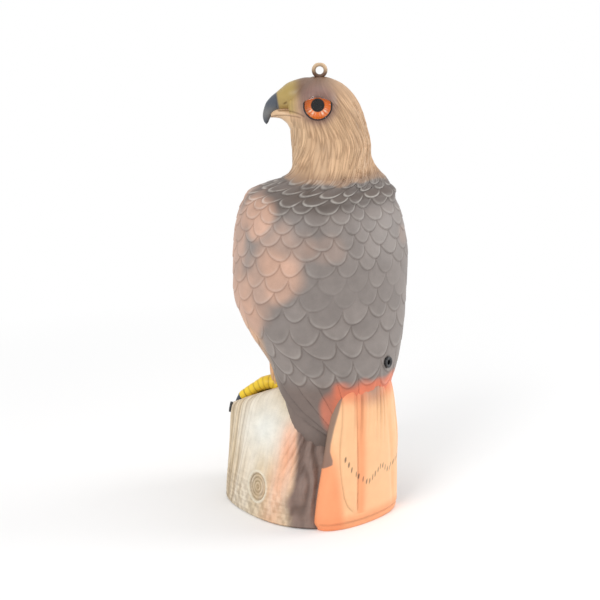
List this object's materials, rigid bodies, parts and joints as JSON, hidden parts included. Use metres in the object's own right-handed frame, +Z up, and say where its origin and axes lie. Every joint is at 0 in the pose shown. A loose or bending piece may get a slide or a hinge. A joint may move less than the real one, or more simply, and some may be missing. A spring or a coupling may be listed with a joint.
{
  "type": "eagle decoy",
  "caption": "Hollow moulded bird-of-prey decoy perched on a tree stump, head turned over its shoulder, with glazed eyes, push-in plugs and a hanging loop.",
  "frame": {"origin": "middle of the object's outline in plan, on the surface that the base rests on", "axes": "+Z up; the mould's parting plane is XZ, the beak points to -X and the hanging loop's hole runs along Y; the bird's chest faces halfway between -X and +Y"},
  "size_m": [0.1678, 0.1696, 0.4042],
  "materials": {
    "moulding": "airbrushed matt paint on moulded polyethylene",
    "black_plastic": "satin",
    "printed_iris": "printed disc under a clear dome",
    "clear_dome": "clear, polished"
  },
  "bodies": {
    "decoy": {"moulded_shell": "moulding", "eye_cup_left": "black_plastic", "eye_cup_right": "black_plastic", "eye_iris_left": "printed_iris", "eye_iris_right": "printed_iris", "eye_lens_left": "clear_dome", "eye_lens_right": "clear_dome"},
    "back_plug_body": {"back_plug": "black_plastic"},
    "stump_plug_body": {"stump_plug": "black_plastic"}
  },
  "joints": [
    {"name": "back_plug_pull", "type": "slide", "parent": "decoy", "child": "back_plug_body", "axis": [0.8203, -0.5708, 0.0364], "range_m": [0, 0.012]},
    {"name": "stump_plug_pull", "type": "slide", "parent": "decoy", "child": "stump_plug_body", "axis": [-0.9874, 0.059, 0.1468], "range_m": [0, 0.012]}
  ]
}
